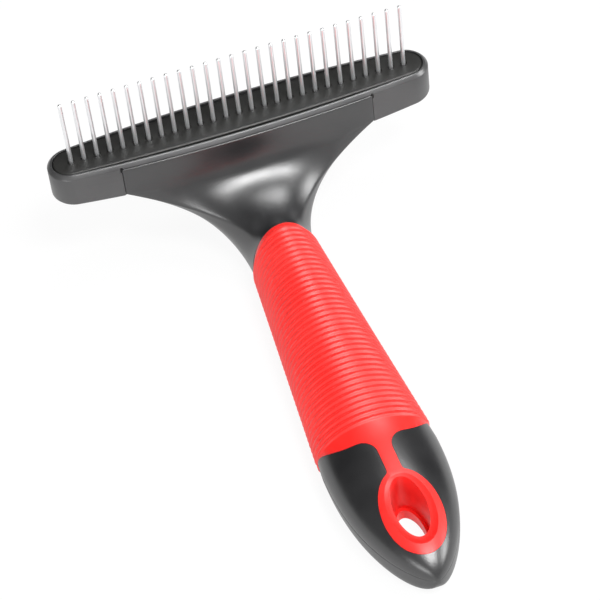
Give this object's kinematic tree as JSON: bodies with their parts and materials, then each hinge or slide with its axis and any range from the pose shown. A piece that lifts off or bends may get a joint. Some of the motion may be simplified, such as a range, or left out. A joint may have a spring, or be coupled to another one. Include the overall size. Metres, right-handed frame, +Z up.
{
  "type": "grooming rake",
  "caption": "Pet coat rake with a T-shaped head, a single row of free-turning steel pins, a bent neck, a ribbed soft grip and an oval hang hole.",
  "frame": {"origin": "centre of the bounding box, on the plane the handle's back rests on", "axes": "X along the row of pins, +Y from the tail of the handle to the head, +Z up along the pins"},
  "size_m": [0.1068, 0.154, 0.0544],
  "materials": {
    "head_plastic": "satin moulded",
    "plate_plastic": "satin moulded",
    "retainer_plastic": "plain moulded",
    "handle_plastic": "semi-gloss moulded",
    "grip_rubber": "soft-touch, ribbed",
    "pin_steel": "polished steel"
  },
  "bodies": {
    "rake": {"head_frame": "head_plastic", "pin_plate": "plate_plastic", "pin_retainer": "retainer_plastic", "handle_core": "handle_plastic", "grip_sleeve": "grip_rubber"},
    "turning_pin_01": {"pin_01": "pin_steel"},
    "turning_pin_02": {"pin_02": "pin_steel"},
    "turning_pin_03": {"pin_03": "pin_steel"},
    "turning_pin_04": {"pin_04": "pin_steel"},
    "turning_pin_05": {"pin_05": "pin_steel"},
    "turning_pin_06": {"pin_06": "pin_steel"},
    "turning_pin_07": {"pin_07": "pin_steel"},
    "turning_pin_08": {"pin_08": "pin_steel"},
    "turning_pin_09": {"pin_09": "pin_steel"},
    "turning_pin_10": {"pin_10": "pin_steel"},
    "turning_pin_11": {"pin_11": "pin_steel"},
    "turning_pin_12": {"pin_12": "pin_steel"},
    "turning_pin_13": {"pin_13": "pin_steel"},
    "turning_pin_14": {"pin_14": "pin_steel"},
    "turning_pin_15": {"pin_15": "pin_steel"},
    "turning_pin_16": {"pin_16": "pin_steel"},
    "turning_pin_17": {"pin_17": "pin_steel"},
    "turning_pin_18": {"pin_18": "pin_steel"},
    "turning_pin_19": {"pin_19": "pin_steel"},
    "turning_pin_20": {"pin_20": "pin_steel"},
    "turning_pin_21": {"pin_21": "pin_steel"},
    "turning_pin_22": {"pin_22": "pin_steel"},
    "turning_pin_23": {"pin_23": "pin_steel"},
    "turning_pin_24": {"pin_24": "pin_steel"},
    "turning_pin_25": {"pin_25": "pin_steel"},
    "turning_pin_26": {"pin_26": "pin_steel"},
    "turning_pin_27": {"pin_27": "pin_steel"}
  },
  "joints": [
    {"name": "pin_01_spin", "type": "hinge", "parent": "rake", "child": "turning_pin_01", "pos_m": [-0.0468, 0.06835, 0.034], "axis": [0, 0, 1], "continuous": true},
    {"name": "pin_02_spin", "type": "hinge", "parent": "rake", "child": "turning_pin_02", "pos_m": [-0.0432, 0.06835, 0.034], "axis": [0, 0, 1], "continuous": true},
    {"name": "pin_03_spin", "type": "hinge", "parent": "rake", "child": "turning_pin_03", "pos_m": [-0.0396, 0.06835, 0.034], "axis": [0, 0, 1], "continuous": true},
    {"name": "pin_04_spin", "type": "hinge", "parent": "rake", "child": "turning_pin_04", "pos_m": [-0.036, 0.06835, 0.034], "axis": [0, 0, 1], "continuous": true},
    {"name": "pin_05_spin", "type": "hinge", "parent": "rake", "child": "turning_pin_05", "pos_m": [-0.0324, 0.06835, 0.034], "axis": [0, 0, 1], "continuous": true},
    {"name": "pin_06_spin", "type": "hinge", "parent": "rake", "child": "turning_pin_06", "pos_m": [-0.0288, 0.06835, 0.034], "axis": [0, 0, 1], "continuous": true},
    {"name": "pin_07_spin", "type": "hinge", "parent": "rake", "child": "turning_pin_07", "pos_m": [-0.0252, 0.06835, 0.034], "axis": [0, 0, 1], "continuous": true},
    {"name": "pin_08_spin", "type": "hinge", "parent": "rake", "child": "turning_pin_08", "pos_m": [-0.0216, 0.06835, 0.034], "axis": [0, 0, 1], "continuous": true},
    {"name": "pin_09_spin", "type": "hinge", "parent": "rake", "child": "turning_pin_09", "pos_m": [-0.018, 0.06835, 0.034], "axis": [0, 0, 1], "continuous": true},
    {"name": "pin_10_spin", "type": "hinge", "parent": "rake", "child": "turning_pin_10", "pos_m": [-0.0144, 0.06835, 0.034], "axis": [0, 0, 1], "continuous": true},
    {"name": "pin_11_spin", "type": "hinge", "parent": "rake", "child": "turning_pin_11", "pos_m": [-0.0108, 0.06835, 0.034], "axis": [0, 0, 1], "continuous": true},
    {"name": "pin_12_spin", "type": "hinge", "parent": "rake", "child": "turning_pin_12", "pos_m": [-0.0072, 0.06835, 0.034], "axis": [0, 0, 1], "continuous": true},
    {"name": "pin_13_spin", "type": "hinge", "parent": "rake", "child": "turning_pin_13", "pos_m": [-0.0036, 0.06835, 0.034], "axis": [0, 0, 1], "continuous": true},
    {"name": "pin_14_spin", "type": "hinge", "parent": "rake", "child": "turning_pin_14", "pos_m": [0, 0.06835, 0.034], "axis": [0, 0, 1], "continuous": true},
    {"name": "pin_15_spin", "type": "hinge", "parent": "rake", "child": "turning_pin_15", "pos_m": [0.0036, 0.06835, 0.034], "axis": [0, 0, 1], "continuous": true},
    {"name": "pin_16_spin", "type": "hinge", "parent": "rake", "child": "turning_pin_16", "pos_m": [0.0072, 0.06835, 0.034], "axis": [0, 0, 1], "continuous": true},
    {"name": "pin_17_spin", "type": "hinge", "parent": "rake", "child": "turning_pin_17", "pos_m": [0.0108, 0.06835, 0.034], "axis": [0, 0, 1], "continuous": true},
    {"name": "pin_18_spin", "type": "hinge", "parent": "rake", "child": "turning_pin_18", "pos_m": [0.0144, 0.06835, 0.034], "axis": [0, 0, 1], "continuous": true},
    {"name": "pin_19_spin", "type": "hinge", "parent": "rake", "child": "turning_pin_19", "pos_m": [0.018, 0.06835, 0.034], "axis": [0, 0, 1], "continuous": true},
    {"name": "pin_20_spin", "type": "hinge", "parent": "rake", "child": "turning_pin_20", "pos_m": [0.0216, 0.06835, 0.034], "axis": [0, 0, 1], "continuous": true},
    {"name": "pin_21_spin", "type": "hinge", "parent": "rake", "child": "turning_pin_21", "pos_m": [0.0252, 0.06835, 0.034], "axis": [0, 0, 1], "continuous": true},
    {"name": "pin_22_spin", "type": "hinge", "parent": "rake", "child": "turning_pin_22", "pos_m": [0.0288, 0.06835, 0.034], "axis": [0, 0, 1], "continuous": true},
    {"name": "pin_23_spin", "type": "hinge", "parent": "rake", "child": "turning_pin_23", "pos_m": [0.0324, 0.06835, 0.034], "axis": [0, 0, 1], "continuous": true},
    {"name": "pin_24_spin", "type": "hinge", "parent": "rake", "child": "turning_pin_24", "pos_m": [0.036, 0.06835, 0.034], "axis": [0, 0, 1], "continuous": true},
    {"name": "pin_25_spin", "type": "hinge", "parent": "rake", "child": "turning_pin_25", "pos_m": [0.0396, 0.06835, 0.034], "axis": [0, 0, 1], "continuous": true},
    {"name": "pin_26_spin", "type": "hinge", "parent": "rake", "child": "turning_pin_26", "pos_m": [0.0432, 0.06835, 0.034], "axis": [0, 0, 1], "continuous": true},
    {"name": "pin_27_spin", "type": "hinge", "parent": "rake", "child": "turning_pin_27", "pos_m": [0.0468, 0.06835, 0.034], "axis": [0, 0, 1], "continuous": true}
  ]
}
